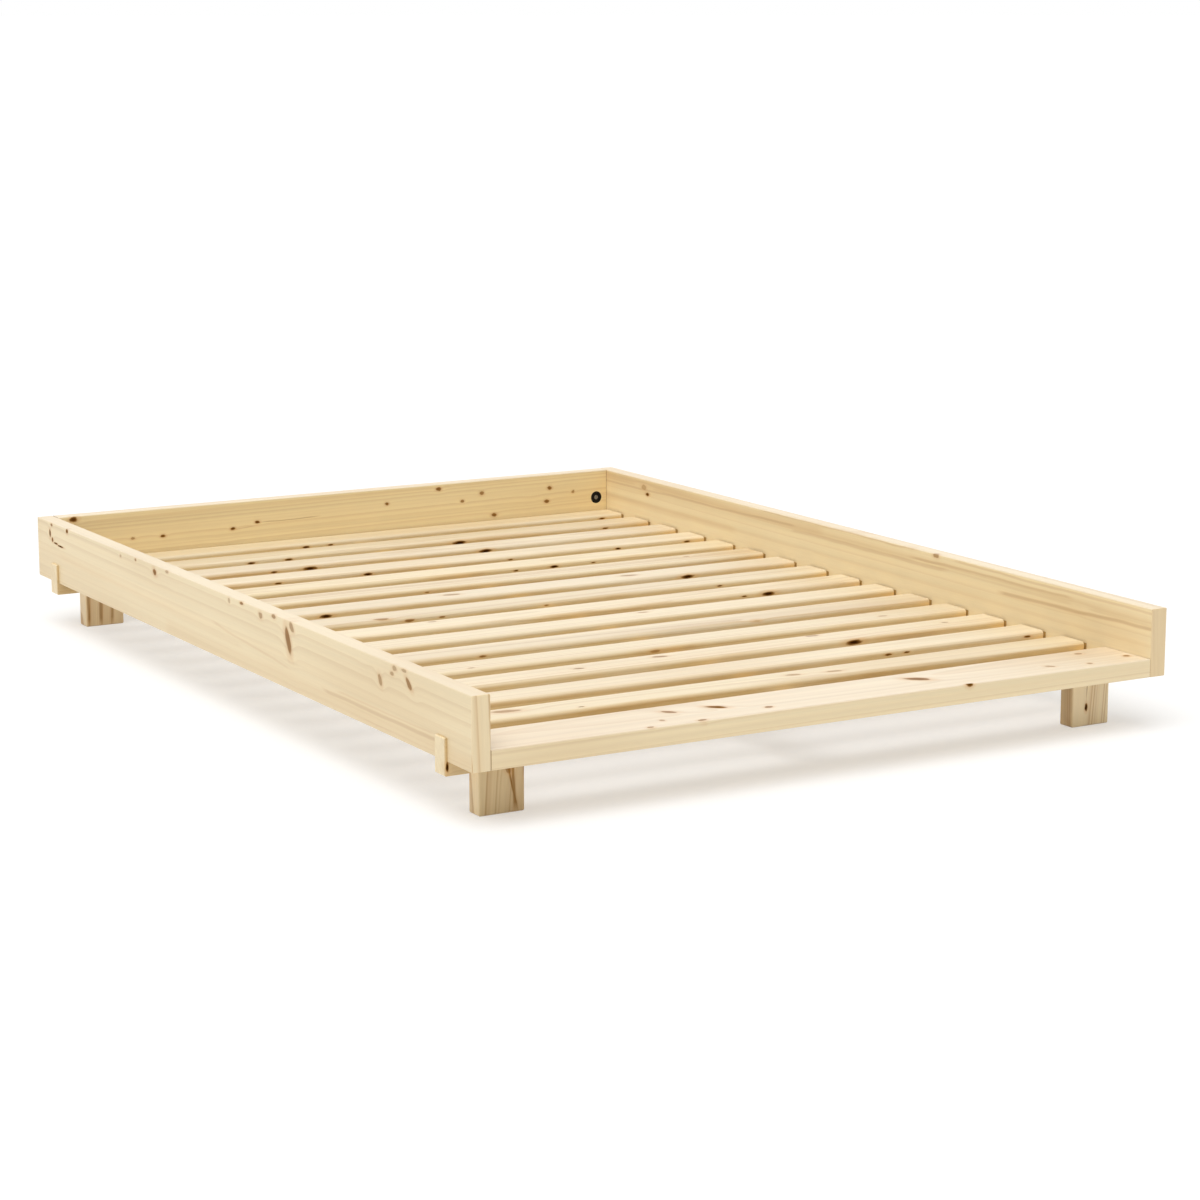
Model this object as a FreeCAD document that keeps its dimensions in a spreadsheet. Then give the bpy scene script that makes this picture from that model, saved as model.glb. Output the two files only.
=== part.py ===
"""Low slatted double bed: boards on hooked bearers, drawn together by turning cam connectors.

Millimetres. The origin is on the floor under the middle of the bed. Seen from the open foot,
+X is to the right, +Y runs to the head and +Z is up.
"""
import FreeCAD
import Part
import Sketcher

import os

# Driving dimensions in millimetres, except the slat count.
DIMENSIONS = {
    "mattress_width": 1400,
    "mattress_length": 2000,
    "mattress_play": 12,
    "board_thickness": 35,
    "board_height": 130,
    "board_rise": 102,
    "board_edge": 2.5,
    "board_end_edge": 1,
    "front_board_width": 134,
    "slat_count": 15,
    "slat_width": 74,
    "slat_thickness": 20,
    "slat_edge": 7,
    "slat_under_edge": 1.5,
    "slat_end_gap": 6,
    "slat_first_gap": 53,
    "slat_last_gap": 8,
    "ledger_width": 30,
    "ledger_end_gap": 1,
    "bearer_depth": 37,
    "bearer_drop": 24,
    "bearer_inset": 88,
    "bearer_edge": 1.5,
    "hook_proud": 5,
    "hook_housing": 12,
    "hook_height": 41,
    "lap_play": 0.3,
    "leg_width": 87,
    "leg_inset": 59,
    "leg_edge": 2,
    "leg_tenon_width": 50,
    "leg_tenon_thickness": 12,
    "leg_tenon_rise": 16,
    "rail_width": 38,
    "rail_lap": 12,
    "tenon_width": 24,
    "tenon_thickness": 10,
    "tenon_length": 40,
    "tenon_reach": 16,
    "tenon_inset": 22,
    "brad_side": 2,
    "slat_brad_bite": 12,
    "ledger_brad_bite": 14,
    "joint_play": 0.1,
    "cam_setback": 29,
    "housing_diameter": 29,
    "housing_depth": 22,
    "cam_diameter": 10,
    "cam_play": 0.4,
    "driver_span": 6.4,
    "driver_slot": 1.4,
    "driver_depth": 2,
    "bolt_diameter": 7,
    "bolt_offset": 5,
    "bolt_tail": 9,
    "bolt_reach": 20,
}

doc = FreeCAD.newDocument("low_bed")
sheet = doc.addObject("Spreadsheet::Sheet", "dims")
for row, (alias, size) in enumerate(DIMENSIONS.items(), 1):
    sheet.set(f"A{row}", alias)
    sheet.set(f"B{row}", str(size))
    sheet.setAlias(f"B{row}", alias)
doc.recompute()


class Formula:
    """A size worked out from the sheet, written as plain arithmetic."""

    def __init__(self, text):
        self.text = text

    def __str__(self):
        return self.text

    def __neg__(self):
        return Formula(f"(0 - {self})")

    def __add__(self, other):
        return Formula(f"({self} + {other})")

    def __radd__(self, other):
        return Formula(f"({other} + {self})")

    def __sub__(self, other):
        return Formula(f"({self} - {other})")

    def __rsub__(self, other):
        return Formula(f"({other} - {self})")

    def __mul__(self, other):
        return Formula(f"({self} * {other})")

    def __rmul__(self, other):
        return Formula(f"({other} * {self})")

    def __truediv__(self, other):
        return Formula(f"({self} / {other})")


class Sheet:
    """Gives each driving dimension as a formula, by its name."""

    def __getattr__(self, alias):
        return Formula(f"dims.{alias}")


def amount(size):
    """The present value of a formula."""
    return float(sheet.evalExpression(str(size)))


d = Sheet()
LEFT, RIGHT = -1, 1
FRONT, BACK = -1, 1
SIDES = {"left": LEFT, "right": RIGHT}
ENDS = {"front": FRONT, "back": BACK}
OUTWARD = {LEFT: "left", RIGHT: "right"}

# Bed positions that several pieces share.
inner_half = d.mattress_width / 2
outer_half = inner_half + d.board_thickness
bed_length = d.mattress_length + d.mattress_play + d.board_thickness
head = bed_length / 2
foot = -head
deck_front = foot + d.front_board_width
deck_back = head - d.board_thickness
deck_length = deck_back - deck_front
board_base = d.board_rise
bearer_base = board_base - d.bearer_drop
ledger_height = d.board_thickness - d.slat_thickness
slat_base = board_base + ledger_height
slat_run = deck_length - d.slat_first_gap - d.slat_last_gap - d.slat_width
slat_pitch = slat_run / (d.slat_count - 1)
first_slat = deck_front + d.slat_first_gap
bearer_y = head - d.bearer_inset - d.bearer_depth / 2
leg_x = outer_half - d.leg_inset - d.leg_width / 2
front_board_y = foot + d.front_board_width / 2
front_board_z = board_base + d.board_thickness / 2
back_board_y = head - d.board_thickness / 2
back_board_z = board_base + d.board_height / 2


def span(middle, size):
    """The two ends of a size about its middle."""
    return middle - size / 2, middle + size / 2


def grown(box, play):
    """A box with the same play added on every side."""
    return tuple((low - play, high + play) for low, high in box)


def flipped(box, side=RIGHT, end=BACK):
    """A box of the right-hand back quarter of the bed, moved to another quarter."""
    x, y, z = box
    if side == LEFT:
        x = (-x[1], -x[0])
    if end == FRONT:
        y = (-y[1], -y[0])
    return x, y, z


# Boxes of the joints and fasteners on the right-hand side of the bed: x, y and z from low to high.
brad_x = inner_half - d.ledger_width / 2
slat_brad = (
    span(brad_x, d.brad_side),
    span(first_slat + d.slat_width / 2, d.brad_side),
    (board_base, slat_base + d.slat_brad_bite),
)
ledger_brad = (
    (inner_half - d.ledger_width, inner_half + d.ledger_brad_bite),
    span(first_slat + (d.slat_width + slat_pitch) / 2, d.brad_side),
    span(board_base + ledger_height / 2, d.brad_side),
)
ledger_brad_count = int(amount(d.slat_count)) // 2
ledger_brad_run = 2 * slat_pitch * (ledger_brad_count - 1)
tenon_x = (inner_half + d.tenon_reach - d.tenon_length, inner_half + d.tenon_reach)
front_tenon = (
    tenon_x,
    span(foot + d.tenon_inset, d.tenon_width),
    span(front_board_z, d.tenon_thickness),
)
back_tenon = (
    tenon_x,
    span(back_board_y, d.tenon_thickness),
    span(board_base + d.tenon_inset, d.tenon_width),
)
front_tenon_spread = d.front_board_width - 2 * d.tenon_inset
back_tenon_spread = d.board_height - 2 * d.tenon_inset
leg_tenon_z = (bearer_base, bearer_base + d.leg_tenon_rise)
leg_tenon = (span(leg_x, d.leg_tenon_width), span(bearer_y, d.leg_tenon_thickness), leg_tenon_z)
centre_leg_tenon = (span(0, d.leg_tenon_thickness), span(0, d.leg_tenon_width), leg_tenon_z)
hook_housing = (
    (outer_half - d.hook_housing, outer_half),
    span(bearer_y, d.bearer_depth),
    (board_base, board_base + d.hook_height),
)

# Sizes of the cam connectors, and where their bolts start on the right-hand side.
cam_x = inner_half - d.cam_setback
cam_radius = d.cam_diameter / 2
housing_radius = d.housing_diameter / 2
bolt_radius = d.bolt_diameter / 2
bolt_depth = d.housing_depth / 2
front_bolt = (cam_x, front_board_y + d.bolt_offset, board_base + bolt_depth)
back_bolt = (cam_x, deck_back + bolt_depth, back_board_z - d.bolt_offset)

# The plane that holds a turned profile, and the profile's turn in it, for each heading of its axis.
HEADINGS = {
    "up": ("XZ_Plane", 0),
    "left": ("XZ_Plane", 90),
    "right": ("XZ_Plane", -90),
    "back": ("YZ_Plane", -90),
}
pieces = []


def rectangle(x, y):
    """The corners of an upright rectangle from its two spans."""
    return [(x[0], y[0]), (x[1], y[0]), (x[1], y[1]), (x[0], y[1])]


def rod(radius, length):
    """The half profile of a plain rod or bore: radius against height."""
    return rectangle((0, radius), (0, length))


class Piece:
    """One named piece of the bed: a body at a point of the bed, shaped by its features."""

    def __init__(self, label, x=0, y=0, z=0, rotation=FreeCAD.Rotation()):
        self.body = doc.addObject("PartDesign::Body", label)
        self.body.Label = label
        self.body.Placement = FreeCAD.Placement(FreeCAD.Vector(), rotation)
        self.place = (x, y, z)
        for axis, size in zip("xyz", self.place):
            self.body.setExpression(f"Placement.Base.{axis}", str(size))
        self.origin = {feature.Role: feature for feature in self.body.Origin.OriginFeatures}
        pieces.append(self.body)

    def own(self, box):
        """A box of the bed as the piece sees it; only for pieces that aren't turned."""
        return tuple((low - start, high - start) for (low, high), start in zip(box, self.place))

    def own_point(self, point):
        """A point of the bed as the piece sees it; only for pieces that aren't turned."""
        return tuple(size - start for size, start in zip(point, self.place))

    def sketch(self, plane, offset, corners, turn=0):
        """A closed outline on an origin plane, moved along the plane's own x, y and normal."""
        outline = self.body.newObject("Sketcher::SketchObject", "outline")
        outline.AttachmentSupport = (self.origin[plane], [""])
        outline.MapMode = "FlatFace"
        spin = FreeCAD.Rotation(FreeCAD.Vector(0, 0, 1), turn)
        outline.AttachmentOffset = FreeCAD.Placement(FreeCAD.Vector(), spin)
        for axis, size in zip("xyz", offset):
            outline.setExpression(f"AttachmentOffset.Base.{axis}", str(size))
        points = [FreeCAD.Vector(amount(x), amount(y), 0) for x, y in corners]
        for start, end in zip(points, points[1:] + points[:1]):
            outline.addGeometry(Part.LineSegment(start, end), False)
        for index, corner in enumerate(corners):
            after = (index + 1) % len(corners)
            outline.addConstraint(Sketcher.Constraint("Coincident", index, 2, after, 1))
            for kind, size in zip(("DistanceX", "DistanceY"), corner):
                rule = Sketcher.Constraint(kind, -1, 1, index, 1, amount(size))
                outline.setExpression(f"Constraints[{outline.addConstraint(rule)}]", str(size))
        return outline

    def feature(self, kind, name, profile, length=None):
        """A solid feature made from a sketch."""
        made = self.body.newObject(f"PartDesign::{kind}", name)
        made.Profile = profile
        if length is not None:
            made.setExpression("Length", str(length))
        return made

    def beam(self, plane, corners, thickness):
        """A solid of one outline, half of its thickness on each side of an origin plane."""
        made = self.feature("Pad", "stock", self.sketch(plane, (0, 0, 0), corners), thickness)
        made.SideType = "Symmetric"
        doc.recompute()

    def box_sketch(self, box, along):
        """The end outline of a box that runs along X or Z, and the length of the run."""
        x, y, z = box
        if along == "X":
            return self.sketch("YZ_Plane", (0, 0, x[0]), rectangle(y, z)), x[1] - x[0]
        return self.sketch("XY_Plane", (0, 0, z[0]), rectangle(x, y)), z[1] - z[0]

    def block(self, box, along="Z"):
        """A square-cut solid."""
        made = self.feature("Pad", "block", *self.box_sketch(box, along))
        doc.recompute()
        return made

    def recess(self, box, along="Z"):
        """A square-cut mortise, housing or hole."""
        made = self.feature("Pocket", "recess", *self.box_sketch(box, along))
        made.Reversed = True
        doc.recompute()
        return made

    def revolve(self, kind, name, profile, point, heading):
        """A turned solid (Revolution) or bore (Groove), with its axis from a point of the piece."""
        plane, turn = HEADINGS[heading]
        x, y, z = point
        offset = (x, z, 0 - y) if plane == "XZ_Plane" else (y, z, x)
        outline = self.sketch(plane, offset, profile, turn)
        made = self.feature(kind, name, outline)
        made.ReferenceAxis = (outline, ["V_Axis"])
        made.Angle = 360
        doc.recompute()

    def turned(self, profile, point, heading):
        self.revolve("Revolution", "turned", profile, point, heading)

    def bore(self, profile, point, heading):
        self.revolve("Groove", "bore", profile, point, heading)

    def repeat(self, feature, axis, length, count=2):
        """Copies of a feature, spread evenly over a length."""
        copies = self.body.newObject("PartDesign::LinearPattern", "row")
        copies.Originals = [feature]
        copies.Direction = (self.origin[f"{axis}_Axis"], [""])
        copies.setExpression("Length", str(length))
        copies.setExpression("Occurrences", str(count))
        self.body.Tip = copies
        doc.recompute()

    def mirror(self, plane, feature=None):
        """The mirror image of one feature, or of the whole piece."""
        image = self.body.newObject("PartDesign::Mirrored", "image")
        if feature is None:
            image.TransformMode = "Whole shape"
        else:
            image.Originals = [feature]
        image.MirrorPlane = (self.origin[plane], [""])
        self.body.Tip = image
        doc.recompute()

    def dress(self, kind, dimension, chosen, size):
        """A Fillet's Radius or a Chamfer's Size on the edges that the chooser picks."""
        base = self.body.Tip
        names = [f"Edge{number}" for number, edge in enumerate(base.Shape.Edges, 1) if chosen(edge)]
        dressed = self.body.newObject(f"PartDesign::{kind}", "edges")
        dressed.Base = (base, names)
        dressed.setExpression(dimension, str(size))
        doc.recompute()

    def rounded(self, chosen, radius):
        self.dress("Fillet", "Radius", chosen, radius)

    def chamfered(self, chosen, size):
        self.dress("Chamfer", "Size", chosen, size)


# How close counts as the same place or direction when edges are chosen.
SAME_PLACE = 0.01


def runs_along(axis):
    """A chooser for the straight edges along one axis."""
    return lambda edge: edge.tangentAt(edge.FirstParameter).cross(axis).Length < SAME_PLACE


ALONG_X = runs_along(FreeCAD.Vector(1, 0, 0))
ALONG_Y = runs_along(FreeCAD.Vector(0, 1, 0))


def side_board(name, side):
    """A long board on edge: housed for the hooks outside, mortised and bored for the joints inside."""
    board = Piece(f"{name}_side_board", side * (inner_half + d.board_thickness / 2), 0, board_base)
    outline = rectangle((foot, head), (0, d.board_height))
    board.beam("YZ_Plane", outline, d.board_thickness)
    end_y = amount(head)
    board.chamfered(lambda edge: abs(abs(edge.CenterOfMass.y) - end_y) < SAME_PLACE, d.board_end_edge)
    board.rounded(ALONG_Y, d.board_edge)

    def inside(box):
        return board.own(flipped(box, side))

    (low_x, high_x), housing_y, (base, top) = hook_housing
    room = (low_x - d.lap_play, high_x), grown([housing_y], d.lap_play)[0], (base, top + d.lap_play)
    board.mirror("XZ_Plane", board.recess(inside(room)))
    board.repeat(board.recess(inside(grown(front_tenon, d.joint_play)), "X"), "Y", front_tenon_spread)
    board.repeat(board.recess(inside(grown(back_tenon, d.joint_play)), "X"), "Z", back_tenon_spread)
    brad_hole = board.recess(inside(grown(ledger_brad, d.joint_play)), "X")
    board.repeat(brad_hole, "Y", ledger_brad_run, ledger_brad_count)
    for x, y, z in (front_bolt, back_bolt):
        hole = rod(bolt_radius + d.joint_play, d.cam_setback + d.bolt_reach + d.joint_play)
        board.bore(hole, board.own_point((side * x, y, z)), OUTWARD[side])


def cross_board(label, y, z, section, tenon, tenon_axis, tenon_spread, bolt, cam_face, cam_heading):
    """A board between the side boards, shaped on its right half and mirrored to the left."""
    board = Piece(label, 0, y, z)
    board.block(((0, inner_half), *section), "X")
    end_x = amount(inner_half)
    board.chamfered(lambda edge: abs(edge.CenterOfMass.x - end_x) < SAME_PLACE, d.board_end_edge)
    board.rounded(ALONG_X, d.board_edge)
    mortise = board.recess(board.own(grown(tenon, d.joint_play)), "X")
    board.repeat(mortise, tenon_axis, tenon_spread)
    board.bore(rod(bolt_radius + d.cam_play, d.cam_setback), board.own_point(bolt), "right")
    housing = rod(housing_radius + d.joint_play, d.housing_depth)
    board.bore(housing, board.own_point(cam_face), cam_heading)
    board.mirror("YZ_Plane")


def front_board():
    """The board that lies flat across the foot; its cams are turned from below."""
    section = span(0, d.front_board_width), (0, d.board_thickness)
    cam_face = (cam_x, front_board_y, board_base)
    cross_board(
        "front_board", front_board_y, board_base, section,
        front_tenon, "Y", front_tenon_spread, front_bolt, cam_face, "up",
    )


def back_board():
    """The board on edge across the head; its cams show on the inside."""
    section = span(0, d.board_thickness), (0, d.board_height)
    cam_face = (cam_x, deck_back, back_board_z)
    cross_board(
        "back_board", back_board_y, board_base, section,
        back_tenon, "Z", back_tenon_spread, back_bolt, cam_face, "back",
    )


def bearer(label, end):
    """A cross bearer under the boards, with a hook at each end and a housing for the rail."""
    tip = outer_half + d.hook_proud
    hook = outer_half - d.hook_housing
    top = d.bearer_drop
    hook_top = top + d.hook_height
    lap = d.rail_width / 2 + d.lap_play
    seat = top - d.rail_lap
    right = [(0, 0), (tip, 0), (tip, hook_top), (hook, hook_top), (hook, top)]
    middle = [(lap, top), (lap, seat), (0, seat)]
    piece = Piece(label, 0, end * bearer_y, bearer_base)
    piece.beam("XZ_Plane", right + middle, d.bearer_depth)
    tip_x = amount(tip)
    piece.chamfered(lambda edge: abs(edge.CenterOfMass.x - tip_x) < SAME_PLACE, d.bearer_edge)
    piece.recess(piece.own(grown(flipped(leg_tenon, end=end), d.joint_play)))
    piece.mirror("YZ_Plane")


def leg(label, tenon, half_x, half_y):
    """A short upright block with a stub tenon on top, its broad face along the beam that it carries."""
    (x_low, x_high), (y_low, y_high), _ = tenon
    post = Piece(label, (x_low + x_high) / 2, (y_low + y_high) / 2, 0)
    post.block(((-half_x, half_x), (-half_y, half_y), (0, bearer_base)))
    shoulder = amount(bearer_base)
    post.chamfered(lambda edge: edge.CenterOfMass.z < shoulder - SAME_PLACE, d.leg_edge)
    post.block(post.own(tenon))


def slat_ledger(name, side):
    """A strip along the inside of a side board that carries the slat ends."""
    strip = Piece(f"{name}_slat_ledger", side * (inner_half - d.ledger_width / 2), 0, board_base)
    run = (deck_front + d.ledger_end_gap, deck_back - d.ledger_end_gap)
    strip.block((span(0, d.ledger_width), run, (0, ledger_height)))
    slat_hole = strip.recess(strip.own(grown(flipped(slat_brad, side), d.joint_play)))
    strip.repeat(slat_hole, "Y", slat_run, d.slat_count)
    ledger_hole = strip.recess(strip.own(grown(flipped(ledger_brad, side), d.joint_play)), "X")
    strip.repeat(ledger_hole, "Y", ledger_brad_run, ledger_brad_count)


def centre_rail():
    """The lengthwise rail under the slats, lapped into both bearers at its ends."""
    lap = board_base - d.rail_lap
    under_board = deck_front + d.lap_play
    front_low, front_high = span(-bearer_y, d.bearer_depth)
    back_low, back_high = span(bearer_y, d.bearer_depth)
    corners = [
        (front_low, lap),
        (front_high, lap),
        (front_high, bearer_base),
        (back_low, bearer_base),
        (back_low, lap),
        (back_high, lap),
        (back_high, slat_base),
        (under_board, slat_base),
        (under_board, board_base),
        (front_low, board_base),
    ]
    rail = Piece("centre_rail")
    rail.beam("YZ_Plane", corners, d.rail_width)
    rail.recess(grown(centre_leg_tenon, d.joint_play))


def slat(number):
    """A cross slat, rounded above and chamfered below, held by a brad from below at each end."""
    shift = slat_pitch * (number - 1)
    lath = Piece(f"slat_{number:02d}", 0, first_slat + shift, slat_base)
    half = inner_half - d.slat_end_gap
    lath.block(((-half, half), (0, d.slat_width), (0, d.slat_thickness)), "X")
    middle = amount(d.slat_thickness / 2)
    lath.rounded(lambda edge: ALONG_X(edge) and edge.CenterOfMass.z > middle, d.slat_edge)
    lath.chamfered(lambda edge: ALONG_X(edge) and edge.CenterOfMass.z < SAME_PLACE, d.slat_under_edge)
    x, (y_low, y_high), z = grown(slat_brad, d.joint_play)
    hole = lath.recess(lath.own((x, (y_low + shift, y_high + shift), z)))
    lath.mirror("YZ_Plane", hole)


# Cam connectors: origin in the middle of the housing's face, +X along the bed's +X, +Z into the board.
CONNECTORS = {
    "front": (front_board_y, board_base, FreeCAD.Rotation()),
    "back": (deck_back, back_board_z, FreeCAD.Rotation(FreeCAD.Vector(1, 0, 0), -90)),
}


def connector_piece(board, name, side, noun):
    """An empty piece at one connector."""
    y, z, rotation = CONNECTORS[board]
    return Piece(f"{board}_{name}_{noun}", side * cam_x, y, z, rotation)


def cam_housing(board, name, side):
    """The plastic plug that lines the bore: an eye for the cam and a moulded channel for the bolt."""
    plug = connector_piece(board, name, side, "cam_housing")
    eye = cam_radius + d.cam_play
    plug.turned(rectangle((eye, housing_radius), (0, d.housing_depth)), (0, 0, 0), "up")
    channel_half = bolt_radius + d.cam_play
    channel = (
        (-(d.bolt_tail + d.cam_play), housing_radius),
        (d.bolt_offset - channel_half, d.bolt_offset + channel_half),
        (bolt_depth - channel_half, d.housing_depth),
    )
    plug.recess(flipped(channel, side))


def cam(board, name, side):
    """The turning pin: round where it locks the bolt, with a flat that lets the bolt pass at half a turn."""
    pin = connector_piece(board, name, side, "cam")
    length = d.housing_depth - 2 * d.cam_play
    pin.turned(rod(cam_radius, length), (0, 0, d.cam_play), "up")
    flat = d.bolt_offset - bolt_radius - d.cam_play
    notch = span(bolt_depth, d.bolt_diameter + 2 * d.cam_play)
    pin.recess(((-housing_radius, housing_radius), (-housing_radius, -flat), notch))
    face = (0, d.cam_play + d.driver_depth)
    long, short = span(0, d.driver_span), span(0, d.driver_slot)
    pin.recess((long, short, face))
    pin.recess((short, long, face))


def cam_bolt(board, name, side):
    """The bolt fixed in the side board, with a square notch in its flank that the cam turns into."""
    bolt = connector_piece(board, name, side, "cam_bolt")
    shank = rod(bolt_radius, d.bolt_tail + d.cam_setback + d.bolt_reach)
    bolt.turned(shank, (-side * d.bolt_tail, d.bolt_offset, bolt_depth), OUTWARD[side])
    reach = cam_radius + d.cam_play
    bolt.recess(((-reach, reach), (-reach, reach), (0, d.housing_depth)))


def fastener_group(label, box, along, axis, length, count=2):
    """A row of square-cut fasteners on the right-hand side, and its mirror image on the left."""
    group = Piece(label)
    group.repeat(group.block(box, along), axis, length, count)
    group.mirror("YZ_Plane")


for name, side in SIDES.items():
    side_board(name, side)
    slat_ledger(name, side)
front_board()
back_board()
broad, narrow = d.leg_width / 2, d.bearer_depth / 2
for end_name, end in ENDS.items():
    bearer(f"{end_name}_bearer", end)
    for name, side in SIDES.items():
        leg(f"{end_name}_{name}_leg", flipped(leg_tenon, side, end), broad, narrow)
centre_rail()
leg("centre_leg", centre_leg_tenon, narrow, broad)
for number in range(1, int(amount(d.slat_count)) + 1):
    slat(number)
for board in CONNECTORS:
    for name, side in SIDES.items():
        cam_housing(board, name, side)
        cam(board, name, side)
        cam_bolt(board, name, side)
fastener_group("front_board_tenons", front_tenon, "X", "Y", front_tenon_spread)
fastener_group("back_board_tenons", back_tenon, "X", "Z", back_tenon_spread)
fastener_group("slat_brads", slat_brad, "Z", "Y", slat_run, d.slat_count)
fastener_group("ledger_brads", ledger_brad, "X", "Y", ledger_brad_run, ledger_brad_count)

doc.recompute()
for item in doc.Objects:
    if "Invalid" in item.State or "Error" in item.State:
        raise RuntimeError(f"{item.Label} could not be made: {item.State}")
for body in pieces:
    if body.Shape.isNull() or not body.Shape.isValid():
        raise RuntimeError(f"{body.Label} has no sound shape")

os.makedirs("parts", exist_ok=True)
box = FreeCAD.BoundBox()
solids = 0
for body in pieces:
    body.Shape.exportStep(f"parts/{body.Label}.step")
    box.add(body.Shape.BoundBox)
    solids += len(body.Shape.Solids)
print(f"{len(pieces)} pieces, {solids} solids, {box.XLength:.1f} x {box.YLength:.1f} x {box.ZLength:.1f} mm")
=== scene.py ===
# %% [markdown]
# # A low pine bed, dressed around its CAD frame
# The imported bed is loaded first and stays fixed: every board, bearer, leg and connector keeps its place
# and shape. This lesson gives the wood its grain, knots and end grain, rebuilds the slats as one row of
# softly rounded laths, finishes the metal and plastic of the connectors, and sets up camera, floor and light.

# %% Load the frame
import math
import random
from typing import NamedTuple

import bpy
from mathutils import Color, Matrix, Vector


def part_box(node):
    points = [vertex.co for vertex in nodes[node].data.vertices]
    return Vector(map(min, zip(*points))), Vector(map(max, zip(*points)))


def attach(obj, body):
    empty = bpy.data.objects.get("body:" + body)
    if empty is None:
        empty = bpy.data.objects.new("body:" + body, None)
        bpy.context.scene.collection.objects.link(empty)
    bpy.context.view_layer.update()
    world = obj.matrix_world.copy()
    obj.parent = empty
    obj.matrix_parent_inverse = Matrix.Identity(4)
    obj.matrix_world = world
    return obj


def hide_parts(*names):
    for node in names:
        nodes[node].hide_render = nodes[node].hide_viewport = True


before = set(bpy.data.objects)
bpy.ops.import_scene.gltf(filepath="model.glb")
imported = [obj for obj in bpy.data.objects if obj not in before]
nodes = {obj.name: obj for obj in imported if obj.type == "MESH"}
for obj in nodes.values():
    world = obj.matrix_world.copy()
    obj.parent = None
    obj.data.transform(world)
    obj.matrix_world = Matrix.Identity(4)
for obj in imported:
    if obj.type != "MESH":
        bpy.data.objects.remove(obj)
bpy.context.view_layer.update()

# %% [markdown]
# ## Camera
# The bed is seen from its open foot, a little from the left and from chest height. A long lens keeps the
# boards nearly parallel. Turn and tilt could be set by eye. Here they were settled by laying the frame's
# edges over the photograph, and without a shift, which would skew every other view.

# %% Camera
CAMERA_PLACE = (-2.954, -5.2389, 1.3248)
CAMERA_TURN_DEG = 30.2775
CAMERA_DIP_DEG = 11.0922
CAMERA_LENS_MM = 89.959
SENSOR_MM = 36.0

camera_data = bpy.data.cameras.new("bed_camera")
camera_data.sensor_width = SENSOR_MM
camera_data.lens = CAMERA_LENS_MM
camera = bpy.data.objects.new("bed_camera", camera_data)
bpy.context.scene.collection.objects.link(camera)
camera.location = CAMERA_PLACE
camera.rotation_euler = (math.radians(90 - CAMERA_DIP_DEG), 0, -math.radians(CAMERA_TURN_DEG))
bpy.context.scene.camera = camera
print("camera", tuple(camera.location), "lens", CAMERA_LENS_MM)

# %% [markdown]
# ## Small helpers for node trees
# A shader is a chain of small sums. These helpers add one node each, join whatever is already a socket
# and type in whatever is a plain number, so that each finish below reads as a recipe.


# %% Node helpers
def feed(tree, socket, value):
    """Joins a socket to another one, or types a plain value into it."""
    if isinstance(value, bpy.types.NodeSocket):
        tree.links.new(value, socket)
    else:
        socket.default_value = value


def sum_node(tree, operation, *values):
    """One Math node; gives its result."""
    made = tree.nodes.new("ShaderNodeMath")
    made.operation = operation
    for socket, value in zip(made.inputs, values):
        feed(tree, socket, value)
    return made.outputs[0]


def product(tree, first, *others):
    """Several values multiplied, with one Math node for each step."""
    for other in others:
        first = sum_node(tree, "MULTIPLY", first, other)
    return first


def strongest(tree, values):
    """The largest of several sockets, or zero where there are none."""
    found = values[0] if values else 0.0
    for value in values[1:]:
        found = sum_node(tree, "MAXIMUM", found, value)
    return found


def vector_node(tree, operation, *values, output="Vector"):
    """One Vector Math node; gives its vector, or its Value."""
    made = tree.nodes.new("ShaderNodeVectorMath")
    made.operation = operation
    for socket, value in zip(made.inputs, values):
        feed(tree, socket, value)
    return made.outputs[output]


def scaled(tree, vector, factor):
    """A vector made longer or shorter by one factor."""
    result = vector_node(tree, "SCALE", vector)
    feed(tree, result.node.inputs["Scale"], factor)
    return result


def split(tree, vector):
    """The three parts of a vector."""
    made = tree.nodes.new("ShaderNodeSeparateXYZ")
    feed(tree, made.inputs[0], vector)
    return made.outputs


def joined(tree, x=0.0, y=0.0, z=0.0):
    """A vector made of three parts."""
    made = tree.nodes.new("ShaderNodeCombineXYZ")
    for socket, value in zip(made.inputs, (x, y, z)):
        feed(tree, socket, value)
    return made.outputs[0]


def blend_colours(tree, share, first, second, mode="MIX"):
    """One colour mix; gives the mixed colour."""
    made = tree.nodes.new("ShaderNodeMix")
    made.data_type = "RGBA"
    made.blend_type = mode
    feed(tree, made.inputs["Factor"], share)
    feed(tree, made.inputs["A"], first)
    feed(tree, made.inputs["B"], second)
    return made.outputs["Result"]


def rescale(tree, value, low, high, new_low=0.0, new_high=1.0, smooth=False):
    """A Map Range node; values outside the range stay at its ends."""
    made = tree.nodes.new("ShaderNodeMapRange")
    made.interpolation_type = "SMOOTHSTEP" if smooth else "LINEAR"
    for name, number in zip(("Value", "From Min", "From Max", "To Min", "To Max"),
                            (value, low, high, new_low, new_high)):
        feed(tree, made.inputs[name], number)
    return made.outputs["Result"]


# %% Noise, groups and colours
NOISE_MIDDLE = 0.5
BYTE_WHITE = 255


def stretched_noise(tree, place, stretch, seed, detail=2.0, roughness=0.5):
    """Cloudy noise, with its own number of waves per metre along each axis."""
    made = tree.nodes.new("ShaderNodeTexNoise")
    made.noise_dimensions = "4D"
    feed(tree, made.inputs["Vector"], vector_node(tree, "MULTIPLY", place, stretch))
    feed(tree, made.inputs["W"], seed)
    feed(tree, made.inputs["Scale"], 1.0)
    feed(tree, made.inputs["Detail"], detail)
    feed(tree, made.inputs["Roughness"], roughness)
    return made


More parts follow.
